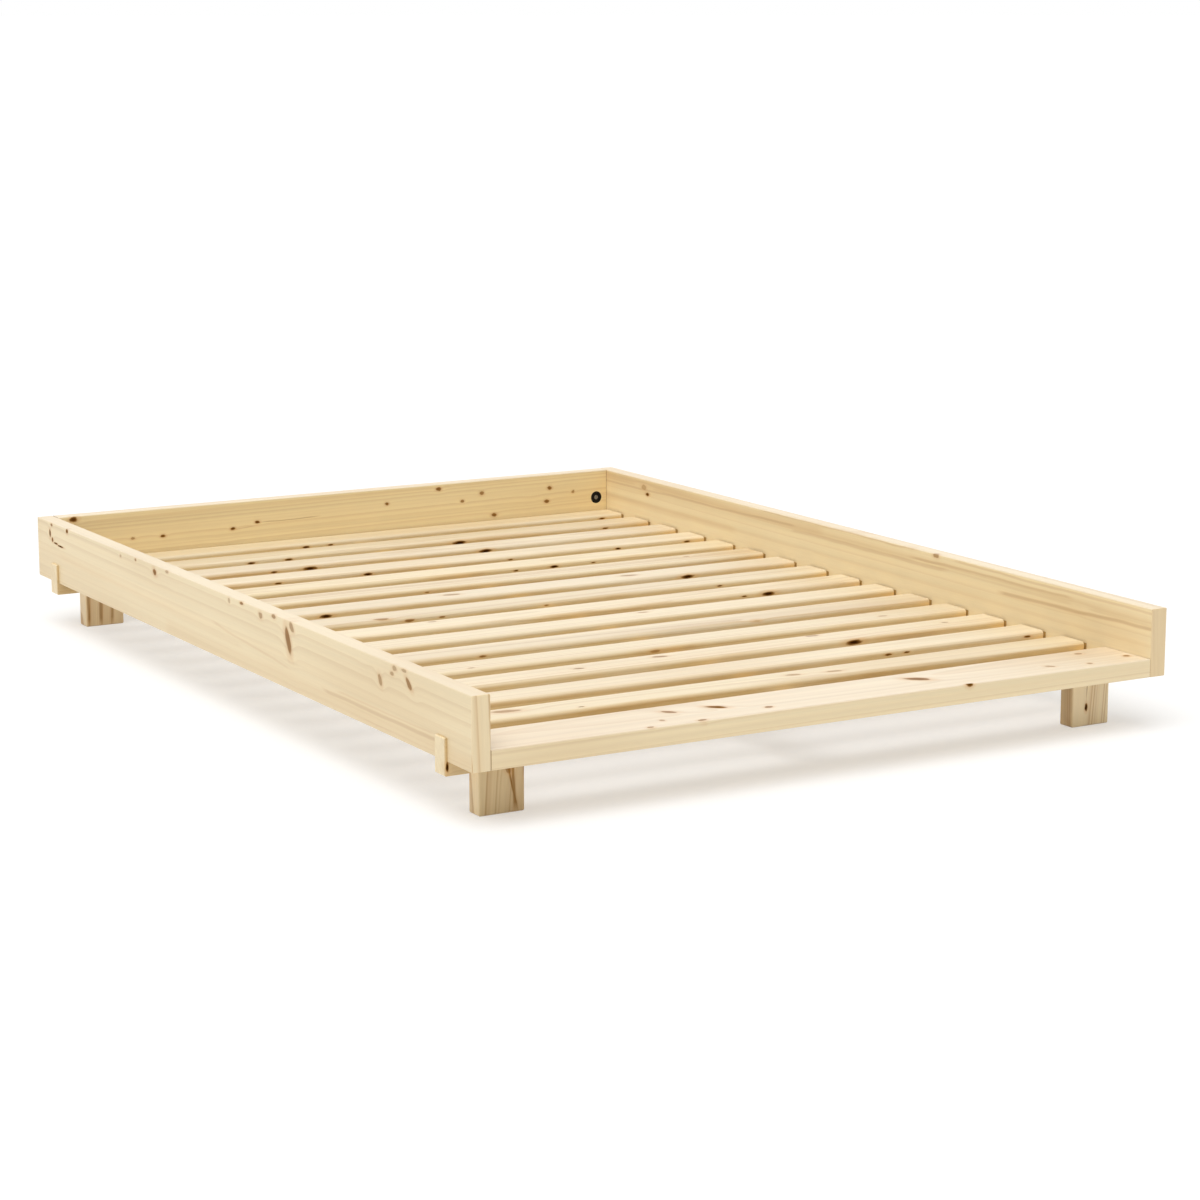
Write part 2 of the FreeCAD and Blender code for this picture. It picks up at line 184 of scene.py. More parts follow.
def new_group(name, inputs, outputs):
    """An empty node group with named inputs and outputs; gives the group and its two end nodes."""
    group = bpy.data.node_groups.new(name, "ShaderNodeTree")
    for label, kind in inputs:
        group.interface.new_socket(label, in_out="INPUT", socket_type=f"NodeSocket{kind}")
    for label, kind in outputs:
        group.interface.new_socket(label, in_out="OUTPUT", socket_type=f"NodeSocket{kind}")
    return group, group.nodes.new("NodeGroupInput").outputs, group.nodes.new("NodeGroupOutput").inputs


def use_group(tree, group, **values):
    """One use of a node group; underscores in the names stand for spaces."""
    made = tree.nodes.new("ShaderNodeGroup")
    made.node_tree = group
    for label, value in values.items():
        feed(tree, made.inputs[label.replace("_", " ").capitalize()], value)
    return made.outputs


def new_material(name):
    """An empty material with a Principled surface."""
    material = bpy.data.materials.new(name)
    material.use_nodes = True
    return material


def colour(red, green, blue):
    """A colour as a picture editor writes it, made linear for the shaders."""
    written = Color([part / BYTE_WHITE for part in (red, green, blue)])
    return (*written.from_srgb_to_scene_linear(), 1.0)


print("white becomes", colour(BYTE_WHITE, BYTE_WHITE, BYTE_WHITE))


# %% [markdown]
# ## Knots and veins
# A knot is the root of a branch, cut by the saw: an oval where the branch was cut across, a slanting dark
# streak where it was cut lengthwise. It has a dark core and a brown rim, and the rings of the trunk bulge
# round it. It could be painted on one face, but a branch also shows on the edge beside it, so this group
# measures how far a point of the wood is from one branch. It gives the oval, its core, the rim and the push
# on the rings. A second group draws a vein, a darker streak that follows the grain for a while.

# %% Knot and vein groups
KNOT_RAGGED = 0.9
KNOT_RAGGED_WAVES = (0.9, 0.9, 0.9)
KNOT_SEED_STEP = 70.0
KNOT_EDGE = (1.15, 0.75)
KNOT_CORE = (0.95, 0.3)
KNOT_STAIN = (2.2, 0.9)
SMALLEST_RADIUS = 0.0001
FULL_BULGE_RADIUS = 0.012
BULGE_FALLOFF = -0.16
VEIN_WANDER = (7.0, 14.0, 14.0)
VEIN_WANDER_SIZE = 0.010
VEIN_EDGE = (1.0, 0.2)
VEIN_FADE = 0.03


def make_knot_group():
    """One branch in the wood; distances are counted in steps of its radius."""
    group, given, result = new_group(
        "pine_knot",
        [("Place", "Vector"), ("Centre", "Vector"), ("Radius", "Float"), ("Stretch", "Vector"),
         ("Slant", "Float")],
        [("Knot", "Float"), ("Core", "Float"), ("Rim", "Float"), ("Push", "Float")],
    )
    away = vector_node(group, "SUBTRACT", given["Place"], given["Centre"])
    leaning = sum_node(group, "MULTIPLY", split(group, away)[1], given["Slant"])
    away = vector_node(group, "ADD", away, joined(group, leaning))
    away = vector_node(group, "DIVIDE", away, given["Stretch"])
    radius = sum_node(group, "MAXIMUM", given["Radius"], SMALLEST_RADIUS)
    away = scaled(group, away, sum_node(group, "DIVIDE", 1.0, radius))
    own_seed = sum_node(group, "MULTIPLY", split(group, given["Centre"])[0], KNOT_SEED_STEP)
    ragged = stretched_noise(group, away, KNOT_RAGGED_WAVES, own_seed, detail=3).outputs[0]
    rough = sum_node(group, "SUBTRACT", ragged, NOISE_MIDDLE)
    steps = vector_node(group, "LENGTH", away, output="Value")
    uneven = sum_node(group, "MULTIPLY_ADD", rough, KNOT_RAGGED, steps)
    feed(group, result["Knot"], rescale(group, uneven, *KNOT_EDGE, smooth=True))
    feed(group, result["Core"], rescale(group, uneven, *KNOT_CORE, smooth=True))
    feed(group, result["Rim"], rescale(group, uneven, *KNOT_STAIN, smooth=True))
    bump = sum_node(group, "EXPONENT", product(group, steps, steps, BULGE_FALLOFF))
    bulge = sum_node(group, "MINIMUM", sum_node(group, "DIVIDE", given["Radius"], FULL_BULGE_RADIUS), 1.0)
    feed(group, result["Push"], sum_node(group, "MULTIPLY", bump, bulge))
    return group


def make_vein_group():
    """One streak along the grain, soft at its sides and faded at its ends."""
    group, given, result = new_group(
        "pine_vein",
        [("Place", "Vector"), ("Start", "Float"), ("End", "Float"), ("Across", "Float"), ("Slope", "Float"),
         ("Width", "Float"), ("Strength", "Float")],
        [("Vein", "Float")],
    )
    along, across, _ = split(group, given["Place"])
    sway = stretched_noise(group, given["Place"], VEIN_WANDER, given["Across"], detail=2).outputs[0]
    sway = sum_node(group, "MULTIPLY", sum_node(group, "SUBTRACT", sway, NOISE_MIDDLE), VEIN_WANDER_SIZE)
    middle = sum_node(group, "ADD", given["Across"], sway)
    middle = sum_node(group, "MULTIPLY_ADD", along, given["Slope"], middle)
    off = sum_node(group, "ABSOLUTE", sum_node(group, "SUBTRACT", across, middle))
    off = sum_node(group, "DIVIDE", off, given["Width"])
    after = rescale(group, sum_node(group, "SUBTRACT", along, given["Start"]), 0, VEIN_FADE)
    before = rescale(group, sum_node(group, "SUBTRACT", given["End"], along), 0, VEIN_FADE)
    seen = rescale(group, off, *VEIN_EDGE, smooth=True)
    feed(group, result["Vein"], product(group, after, before, given["Strength"], seen))
    return group


KNOT = make_knot_group()
VEIN = make_vein_group()
print("groups", KNOT.name, len(KNOT.nodes), "nodes,", VEIN.name, len(VEIN.nodes), "nodes")

# %% [markdown]
# ## Raw planed pine
# A plank is a slice of a trunk, so its pattern is a solid one: rings round a pith that runs nearly along
# the plank, some way outside it. A face that touches the rings shows long pointed arches, an edge shows
# close parallel lines, and an end shows the rings themselves. Drawing the rings in space and letting the
# plank cut through them gives all three at once, and they meet at every corner. Each ring is pale where
# the tree grew in spring and darkens slowly to a thin summer line.

# %% Growth rings
RING_BEND = (0.9, 6.0, 6.0)
RING_BEND_SIZE = (0.0, 0.007, 0.007)
RING_WOBBLE = (1.6, 45.0, 45.0)
RING_WOBBLE_SIZE = 0.4
RING_UNEVEN = 1.5
ACROSS_TRUNK = (0, 1, 1)
BROAD_BANDS = 45.0
DARK_BANDS = (0.5, 0.75, 0.0, 0.5)
SUMMER_GROWS = (0.2, 0.92)
SUMMER_STOPS = (1.0, 0.92)
YEAR_LUCK = (0.25, 1.0)


def trunk_radius(group, given):
    """How far a point is from the pith, which leans and wanders along the plank."""
    bend = stretched_noise(group, given["Place"], RING_BEND, given["Seed"], detail=1.5).outputs["Color"]
    bend = vector_node(group, "SUBTRACT", bend, (NOISE_MIDDLE, NOISE_MIDDLE, NOISE_MIDDLE))
    bend = vector_node(group, "MULTIPLY", bend, RING_BEND_SIZE)
    along, _, _ = split(group, given["Place"])
    from_pith = vector_node(group, "ADD", given["Place"], bend)
    from_pith = vector_node(group, "SUBTRACT", from_pith, given["Pith"])
    from_pith = vector_node(group, "SUBTRACT", from_pith, scaled(group, given["Lean"], along))
    from_pith = vector_node(group, "MULTIPLY", from_pith, ACROSS_TRUNK)
    return vector_node(group, "LENGTH", from_pith, output="Value")


def summer_lines(group, given):
    """The share of dark summer wood: rings of uneven width and strength, and some broad bands."""
    radius, seed = trunk_radius(group, given), given["Seed"]
    band_noise = group.nodes.new("ShaderNodeTexNoise")
    band_noise.noise_dimensions = "1D"
    feed(group, band_noise.inputs["W"], sum_node(group, "MULTIPLY_ADD", radius, BROAD_BANDS, seed))
    feed(group, band_noise.inputs["Scale"], 1.0)
    band = band_noise.outputs[0]
    wobble = stretched_noise(group, given["Place"], RING_WOBBLE, seed, detail=1).outputs[0]
    years = sum_node(group, "ADD", sum_node(group, "DIVIDE", radius, given["Ring"]), given["Push"])
    years = sum_node(group, "MULTIPLY_ADD", wobble, RING_WOBBLE_SIZE, years)
    years = sum_node(group, "MULTIPLY_ADD", band, RING_UNEVEN, years)
    season = sum_node(group, "FRACT", years)
    luck = group.nodes.new("ShaderNodeTexWhiteNoise")
    luck.noise_dimensions = "1D"
    feed(group, luck.inputs["W"], sum_node(group, "ADD", sum_node(group, "FLOOR", years), seed))
    lines = product(
        group, rescale(group, season, *SUMMER_GROWS, smooth=True), rescale(group, season, *SUMMER_STOPS),
        rescale(group, luck.outputs["Value"], *YEAR_LUCK))
    lines = sum_node(group, "ADD", lines, rescale(group, band, *DARK_BANDS))
    return sum_node(group, "MULTIPLY", lines, given["Contrast"])


print("a ring darkens over", SUMMER_GROWS, "of its year and ends by", SUMMER_STOPS[0])

# %% Pine group
STREAKS = (0.6, 70.0, 70.0)
STREAK_LEVEL = (0.3, 0.7, 0.94, 1.04)
FIBRES = (45.0, 1500.0, 1500.0)
FIBRE_LEVEL = (0.25, 0.75, 0.97, 1.02)
FIBRE_HEIGHT = 0.4
BLOTCHES = (1.3, 7.0, 7.0)
BLOTCH_SHARE = (0.48, 0.75, 0.0, 0.3)
KNOT_RIM = colour(214, 160, 86)
KNOT_RIM_SHARE = 0.45
KNOT_PALE = colour(182, 128, 62)
KNOT_DARK = colour(58, 28, 2)
VEIN_GOLD = colour(212, 156, 76)
VEIN_DARK = colour(116, 74, 30)
DULL_VEINS = (0.4, 0.8)
SPECULAR = 0.9
KNOT_SPECULAR = 0.0
SPRING_ROUGHNESS = 0.44
SUMMER_SMOOTHER = -0.06


def make_pine_group():
    """Pine with its rings, streaks, blotches, veins and knots, as colour, sheen and height."""
    group, given, result = new_group(
        "raw_pine",
        [("Place", "Vector"), ("Seed", "Float"), ("Pith", "Vector"), ("Lean", "Vector"), ("Ring", "Float"),
         ("Pale", "Color"), ("Summer", "Color"), ("Tint", "Color"), ("Contrast", "Float"),
         ("Knot", "Float"), ("Rim", "Float"), ("Push", "Float"), ("Depth", "Float"), ("Vein", "Float")],
        [("Colour", "Color"), ("Roughness", "Float"), ("Gloss", "Float"), ("Height", "Float")],
    )
    place, seed = given["Place"], given["Seed"]
    lines = summer_lines(group, given)
    tone = blend_colours(group, lines, given["Pale"], given["Summer"])
    streak = stretched_noise(group, place, STREAKS, seed, detail=4, roughness=0.62).outputs[0]
    fibre = stretched_noise(group, place, FIBRES, seed, detail=1).outputs[0]
    grain = product(group, rescale(group, streak, *STREAK_LEVEL), rescale(group, fibre, *FIBRE_LEVEL))
    tone = blend_colours(group, 1.0, tone, grain, "MULTIPLY")
    blotch = stretched_noise(group, place, BLOTCHES, seed, detail=2).outputs[0]
    tone = blend_colours(group, rescale(group, blotch, *BLOTCH_SHARE), tone, given["Summer"])
    tone = blend_colours(group, 1.0, tone, given["Tint"], "MULTIPLY")
    streaky = blend_colours(group, given["Vein"], VEIN_GOLD, VEIN_DARK)
    tone = blend_colours(group, given["Vein"], tone, streaky)
    tone = blend_colours(group, sum_node(group, "MULTIPLY", given["Rim"], KNOT_RIM_SHARE), tone, KNOT_RIM)
    heart = blend_colours(group, given["Depth"], KNOT_PALE, KNOT_DARK)
    feed(group, result["Colour"], blend_colours(group, given["Knot"], tone, heart))
    roughness = sum_node(group, "MULTIPLY_ADD", lines, SUMMER_SMOOTHER, SPRING_ROUGHNESS)
    feed(group, result["Roughness"], roughness)
    dull = sum_node(group, "MAXIMUM", given["Knot"], rescale(group, given["Vein"], *DULL_VEINS))
    feed(group, result["Gloss"], rescale(group, dull, 0, 1, SPECULAR, KNOT_SPECULAR))
    feed(group, result["Height"], sum_node(group, "MULTIPLY_ADD", fibre, FIBRE_HEIGHT, lines))
    return group


PINE = make_pine_group()
print("group", PINE.name, len(PINE.nodes), "nodes")

# %% [markdown]
# ## Cutting a plank from the tree
# Each plank has its own stretch of trunk. A Mapping node turns the bed's axes so that the first axis runs
# along the grain, the second across the broad face and the third through the plank, with zero in its
# middle. The pith, the lean and the knots are then given in metres of that plank.

# %% Place and surface of a plank
GRAIN_ALONG_X_FLAT = Matrix(((1, 0, 0), (0, 1, 0), (0, 0, 1)))
GRAIN_ALONG_X_ON_EDGE = Matrix(((1, 0, 0), (0, 0, 1), (0, -1, 0)))
GRAIN_ALONG_Y = Matrix(((0, 1, 0), (0, 0, 1), (1, 0, 0)))
GRAIN_ALONG_Z = Matrix(((0, 0, 1), (1, 0, 0), (0, 1, 0)))
BUMP_HEIGHT = 0.0004
BUMP_STRENGTH = 0.35


def plank_place(tree, node_name, axes):
    """Object coordinates turned to the plank, with zero in its middle."""
    low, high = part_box(node_name)
    mapping = tree.nodes.new("ShaderNodeMapping")
    mapping.inputs["Rotation"].default_value = axes.to_euler()
    mapping.inputs["Location"].default_value = -(axes @ ((low + high) / 2))
    tree.links.new(tree.nodes.new("ShaderNodeTexCoord").outputs["Object"], mapping.inputs["Vector"])
    return mapping.outputs["Vector"]


def finish_wood(tree, wood):
    """Joins a pine recipe to the surface, with the grain just felt by the light."""
    shader = tree.nodes["Principled BSDF"]
    tree.links.new(wood["Colour"], shader.inputs["Base Color"])
    tree.links.new(wood["Roughness"], shader.inputs["Roughness"])
    tree.links.new(wood["Gloss"], shader.inputs["Specular IOR Level"])
    bump = tree.nodes.new("ShaderNodeBump")
    bump.inputs["Strength"].default_value = BUMP_STRENGTH
    bump.inputs["Distance"].default_value = BUMP_HEIGHT
    tree.links.new(wood["Height"], bump.inputs["Height"])
    tree.links.new(bump.outputs["Normal"], shader.inputs["Normal"])


print("grain felt to a depth of", BUMP_HEIGHT, "m")

# %% Marks of a plank
PALE = colour(244, 224, 182)
SUMMER = colour(206, 168, 112)
KNOT_HUSK = (0.0, 1.0, 0.45, 1.0)
FAINT_KNOT = (0.0, 0.6, 0.3, 1.0)
THROUGH_STRETCH = 1.5


class Knot(NamedTuple):
    """A knot in metres of its plank: middle, half sizes, darkness, lean, and side -1 for the other face."""
    along: float
    across: float
    long: float
    tall: float
    depth: float
    slant: float = 0.0
    side: int = 1


class Vein(NamedTuple):
    """A vein in metres of its plank; across holds in the middle of the plank."""
    start: float
    end: float
    across: float
    width: float
    strength: float
    slope: float = 0.0


def branch(tree, place, knot, face_height):
    """One knot of a plank, as a use of the knot group and its depth of colour."""
    found = use_group(
        tree, KNOT, place=place, centre=(knot.along, knot.across, knot.side * face_height), radius=knot.tall,
        stretch=(knot.long / knot.tall, 1.0, THROUGH_STRETCH), slant=knot.slant)
    return found, knot.depth


def marked_wood(tree, place, branches, veins, **recipe):
    """Pine with its marks: branches are (use of the knot group, depth of colour), veins are sockets."""
    def darkness(found, depth):
        return sum_node(tree, "MULTIPLY", rescale(tree, found["Core"], *KNOT_HUSK), depth)

    def seen(found, mark, depth):
        return sum_node(tree, "MULTIPLY", found[mark], rescale(tree, depth, *FAINT_KNOT))

    return use_group(
        tree, PINE, place=place, vein=strongest(tree, veins),
        depth=strongest(tree, [darkness(found, depth) for found, depth in branches]),
        knot=strongest(tree, [seen(found, "Knot", depth) for found, depth in branches]),
        rim=strongest(tree, [seen(found, "Rim", depth) for found, depth in branches]),
        push=strongest(tree, [found["Push"] for found, _ in branches]),
        pale=PALE, summer=SUMMER, **recipe,
    )


print("spring wood", PALE[:3], "summer wood", SUMMER[:3])

# %% [markdown]
# ## Tints, ends and joints
# Each plank may have its own tint of wood. Light falls on its faces a little differently, so a face and the
# upper edge may get their own tint too, as painted shade or painted sheen. A sawn end shows its rings as
# nearly straight stripes, and where two boards meet, painted shade darkens the arris. The gap behind the slat
# ends is deeper in shade than even studio light makes it, so the strip of board that lies there gets painted
# shade.

# %% One plank
PLAIN = (1.0, 1.0, 1.0, 1.0)
TINT_DEPTH = 0.003
END_DEPTH = (0.0015, 0.0012)
END_SQUEEZE = 0.03
END_RING = 0.0042
JOINT_DEPTH = 0.0011
# Painted shade along the arris of a joint.
JOINT_PAINTED_SHADE = (0.45, 0.38, 0.30, 1.0)
# Painted shade for the gap behind the slat ends.
SLOT_PAINTED_SHADE = (0.55, 0.42, 0.22, 1.0)
SLOT_DROP = 0.0035
SLOT_FACE_DEPTH = 0.001


class Plank(NamedTuple):
    """How a plank lies in its tree, its tints and its marks.

    Marks and face tint are for the face that shows, at the high (1) or low end (-1) of the third axis. The
    edge tint is for the upper edge, and the end tint for sawn ends, which show stripes where there is an end
    contrast. Face and edge tints may hold painted shade or painted sheen. Joint ends get painted shade on the
    arris, and slats_at tells on which face of a board the slats end, where painted shade darkens the strip
    behind them.
    """
    axes: Matrix
    seed: float
    pith: tuple
    lean: tuple = (0.01, 0.01)
    ring: float = 0.0045
    contrast: float = 0.5
    face: int = 1
    tint: tuple = PLAIN
    face_tint: tuple = PLAIN
    edge_tint: tuple = PLAIN
    knots: tuple = ()
    veins: tuple = ()
    end_contrast: float = 0.0
    end_tint: tuple = PLAIN
    joint_ends: bool = False
    slats_at: int = 0


def painted_slot_shade(tree, place, node_name, side):
    """Mask of painted shade: one on the strip of a side board that lies behind the slat ends, zero elsewhere.
    """
    low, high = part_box(node_name)
    middle = (low + high) / 2
    first_low, first_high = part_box("slat_01")
    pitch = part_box("slat_02")[0].y - first_low.y
    along, across, through = split(tree, place)
    past_first = sum_node(tree, "SUBTRACT", along, first_low.y - middle.y)
    step = sum_node(tree, "FLOORED_MODULO", past_first, pitch)
    inwards = sum_node(tree, "MULTIPLY", through, side)
    return product(
        tree,
        sum_node(tree, "LESS_THAN", step, first_high.y - first_low.y),
        sum_node(tree, "LESS_THAN", across, first_high.z - SLOT_DROP - middle.z),
        sum_node(tree, "GREATER_THAN", inwards, (high.x - low.x) / 2 - SLOT_FACE_DEPTH),
        sum_node(tree, "GREATER_THAN", past_first, 0.0),
    )


def plank_material(node_name, plank):
    """Pine for one plank of the bed."""
    material = new_material(f"pine_{node_name}")
    tree = material.node_tree
    place = plank_place(tree, node_name, plank.axes)
    low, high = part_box(node_name)
    half_long, half_broad, half_thick = [abs(part) / 2 for part in plank.axes @ (high - low)]
    branches = [branch(tree, place, knot, plank.face * half_thick) for knot in plank.knots]
    streaks = [use_group(tree, VEIN, place=place, **vein._asdict())["Vein"] for vein in plank.veins]
    along, across, through = split(tree, place)
    to_end = sum_node(tree, "SUBTRACT", half_long, sum_node(tree, "ABSOLUTE", along))
    cut, ring, contrast, tint = place, plank.ring, plank.contrast, plank.tint
    if plank.face_tint != PLAIN:
        towards = sum_node(tree, "MULTIPLY", through, plank.face)
        on_face = rescale(tree, towards, half_thick - TINT_DEPTH, half_thick)
        tint = blend_colours(tree, on_face, tint, plank.face_tint)
    if plank.edge_tint != PLAIN:
        on_edge = rescale(tree, across, half_broad - TINT_DEPTH, half_broad)
        tint = blend_colours(tree, on_edge, tint, plank.edge_tint)
    if plank.end_contrast:
        at_end = rescale(tree, to_end, *END_DEPTH)
        cut = vector_node(tree, "MULTIPLY", place,
                          joined(tree, 1.0, rescale(tree, at_end, 0, 1, 1.0, END_SQUEEZE), 1.0))
        contrast = rescale(tree, at_end, 0, 1, contrast, plank.end_contrast)
        ring = rescale(tree, at_end, 0, 1, ring, END_RING)
        tint = blend_colours(tree, at_end, tint, plank.end_tint)
        streaks = [sum_node(tree, "MULTIPLY", streak, rescale(tree, at_end, 1, 0)) for streak in streaks]
    # Painted shade: the arris where two boards meet is darkened to stand for the shade in the joint.
    if plank.joint_ends:
        arris = sum_node(tree, "LESS_THAN", to_end, JOINT_DEPTH)
        tint = blend_colours(tree, arris, tint, JOINT_PAINTED_SHADE, "MULTIPLY")
    # Painted shade: the strip of side board behind each slat end is darkened to stand for the deep shade in
    # that gap.
    if plank.slats_at:
        strip = painted_slot_shade(tree, place, node_name, plank.slats_at)
        tint = blend_colours(tree, strip, tint, SLOT_PAINTED_SHADE, "MULTIPLY")
    finish_wood(tree, marked_wood(
        tree, cut, branches, streaks, seed=plank.seed, pith=(0, *plank.pith), lean=(0, *plank.lean),
        ring=ring, contrast=contrast, tint=tint))
    return material


def put_on(node_name, material):
    """Gives a CAD node a finish in all its material slots."""
    for material_slot in nodes[node_name].material_slots:
        material_slot.material = material


print("a plank can have", len(Plank._fields), "settings")

# %% [markdown]
# ## The four boards
# The boards show most, so each has its own trunk, with its knots and veins placed where the photograph shows
# them. The faces that it doesn't show have a few knots of their own. The side boards are cut flat from the
# log: arches on the faces, close lines along the top edge.

# %% Marks of the side boards
LEFT_KNOTS = [
    Knot(0.935, 0.060, 0.006, 0.003, 0.5), Knot(0.946, 0.040, 0.005, 0.009, 0.9),
    Knot(0.932, 0.028, 0.005, 0.005, 0.6), Knot(0.911, 0.0225, 0.013, 0.002, 0.9),
    Knot(0.884, 0.020, 0.019, 0.002, 0.95), Knot(0.840, 0.060, 0.006, 0.005, 0.7),
    Knot(0.527, 0.055, 0.005, 0.003, 0.15), Knot(0.444, 0.060, 0.005, 0.003, 0.4),
    Knot(0.341, 0.051, 0.009, 0.007, 0.55, -0.3), Knot(0.276, 0.062, 0.008, 0.003, 0.2),
    Knot(-0.034, 0.056, 0.005, 0.005, 0.15), Knot(-0.094, 0.061, 0.008, 0.003, 0.5),
    Knot(-0.181, 0.053, 0.008, 0.006, 0.3, -0.2), Knot(-0.241, 0.061, 0.009, 0.004, 0.35),
    Knot(-0.320, 0.055, 0.009, 0.009, 0.3, -0.4), Knot(-0.304, 0.027, 0.011, 0.024, 0.5, -0.31),
    Knot(-0.742, 0.058, 0.009, 0.005, 0.2), Knot(-0.732, 0.047, 0.007, 0.004, 0.25),
    Knot(-0.686, 0.027, 0.007, 0.010, 0.3, -0.3), Knot(-0.778, 0.061, 0.010, 0.003, 0.2),
    Knot(-0.796, 0.041, 0.008, 0.010, 0.45, -0.8),
    Knot(-0.62, 0.048, 0.011, 0.008, 0.5, 0.0, -1), Knot(-0.18, 0.028, 0.007, 0.005, 0.6, 0.0, -1),
    Knot(0.24, 0.040, 0.010, 0.007, 0.45, 0.0, -1), Knot(0.71, 0.010, 0.008, 0.005, 0.6, 0.0, -1),
]
LEFT_VEINS = [
    Vein(-0.93, -0.44, -0.036, 0.006, 0.36), Vein(-0.90, -0.50, -0.027, 0.003, 0.20),
    Vein(-1.1, 0.3, -0.050, 0.022, 0.13), Vein(-0.32, 0.06, -0.003, 0.004, 0.20, 0.077),
    Vein(-0.1, 0.9, -0.020, 0.010, 0.10, 0.02), Vein(-1.1, -0.6, -0.056, 0.003, 0.22),
]
RIGHT_KNOTS = [
    Knot(0.796, 0.031, 0.008, 0.004, 0.7), Knot(0.812, 0.046, 0.011, 0.006, 0.1),
    Knot(-0.350, 0.062, 0.010, 0.005, 0.3),
    Knot(-0.81, 0.022, 0.012, 0.009, 0.5, 0.3, -1), Knot(-0.77, -0.031, 0.007, 0.005, 0.6, 0.0, -1),
    Knot(-0.29, 0.043, 0.009, 0.006, 0.5, 0.0, -1), Knot(0.12, -0.012, 0.013, 0.010, 0.45, -0.3, -1),
    Knot(0.38, 0.035, 0.007, 0.004, 0.6, 0.0, -1), Knot(0.66, -0.040, 0.008, 0.006, 0.4, 0.0, -1),
]
RIGHT_VEINS = [
    Vein(0.05, 1.1, 0.048, 0.024, 0.16), Vein(0.15, 1.1, 0.049, 0.005, 0.36, -0.010),
    Vein(-0.30, 0.32, 0.062, 0.003, 0.30), Vein(0.40, 1.1, 0.002, 0.012, 0.16),
    Vein(-0.40, 0.20, 0.036, 0.006, 0.28), Vein(-0.80, -0.25, 0.046, 0.004, 0.30),
    Vein(-1.1, -0.40, 0.062, 0.004, 0.24, 0.006), Vein(-1.1, -0.55, 0.008, 0.006, 0.42, -0.019),
]
print("side board knots", len(LEFT_KNOTS), "and", len(RIGHT_KNOTS))

# %% Marks of the cross boards
BACK_KNOTS = [
    Knot(-0.664, 0.058, 0.010, 0.006, 0.8),
    Knot(-0.455, 0.003, 0.006, 0.0035, 0.7), Knot(-0.285, 0.005, 0.006, 0.0035, 0.75),
    Knot(-0.224, 0.015, 0.006, 0.0035, 0.75), Knot(-0.527, 0.004, 0.005, 0.003, 0.3),
    Knot(0.105, 0.030, 0.005, 0.0035, 0.55), Knot(0.241, 0.054, 0.007, 0.0045, 0.55),
    Knot(0.304, 0.020, 0.005, 0.0035, 0.45), Knot(0.356, 0.035, 0.006, 0.0045, 0.45),
    Knot(0.541, 0.033, 0.006, 0.0045, 0.55), Knot(0.533, 0.001, 0.007, 0.0045, 0.55),
    Knot(0.606, 0.019, 0.004, 0.0035, 0.35), Knot(0.389, -0.020, 0.007, 0.0045, 0.55),
    Knot(-0.53, 0.026, 0.009, 0.006, 0.6, 0.0, -1), Knot(-0.31, -0.018, 0.011, 0.008, 0.45, 0.3, -1),
    Knot(0.06, 0.037, 0.007, 0.005, 0.6, 0.0, -1), Knot(0.27, -0.034, 0.008, 0.005, 0.5, 0.0, -1),
    Knot(0.49, 0.012, 0.012, 0.009, 0.5, -0.3, -1),
]
BACK_VEINS = [Vein(-0.23, -0.06, 0.018, 0.002, 0.5, 0.02), Vein(-0.30, -0.21, 0.030, 0.0015, 0.35, 0.10)]
FRONT_KNOTS = [
    Knot(-0.304, 0.020, 0.009, 0.011, 0.5, 0.7), Knot(-0.213, 0.011, 0.012, 0.014, 0.6, 0.8),
    Knot(-0.286, -0.0595, 0.009, 0.005, 0.5), Knot(-0.390, -0.060, 0.007, 0.004, 0.5),
    Knot(-0.347, -0.027, 0.005, 0.006, 0.3), Knot(-0.134, -0.035, 0.008, 0.006, 0.5),
    Knot(0.222, 0.016, 0.015, 0.017, 0.55, 0.8), Knot(0.279, -0.065, 0.008, 0.004, 0.85),
    Knot(0.498, -0.021, 0.007, 0.008, 0.3, 0.6), Knot(0.578, -0.038, 0.006, 0.005, 0.3),
    Knot(0.680, -0.020, 0.007, 0.006, 0.5), Knot(0.614, 0.040, 0.009, 0.007, 0.3),
]
print("cross board knots", len(BACK_KNOTS), "and", len(FRONT_KNOTS))

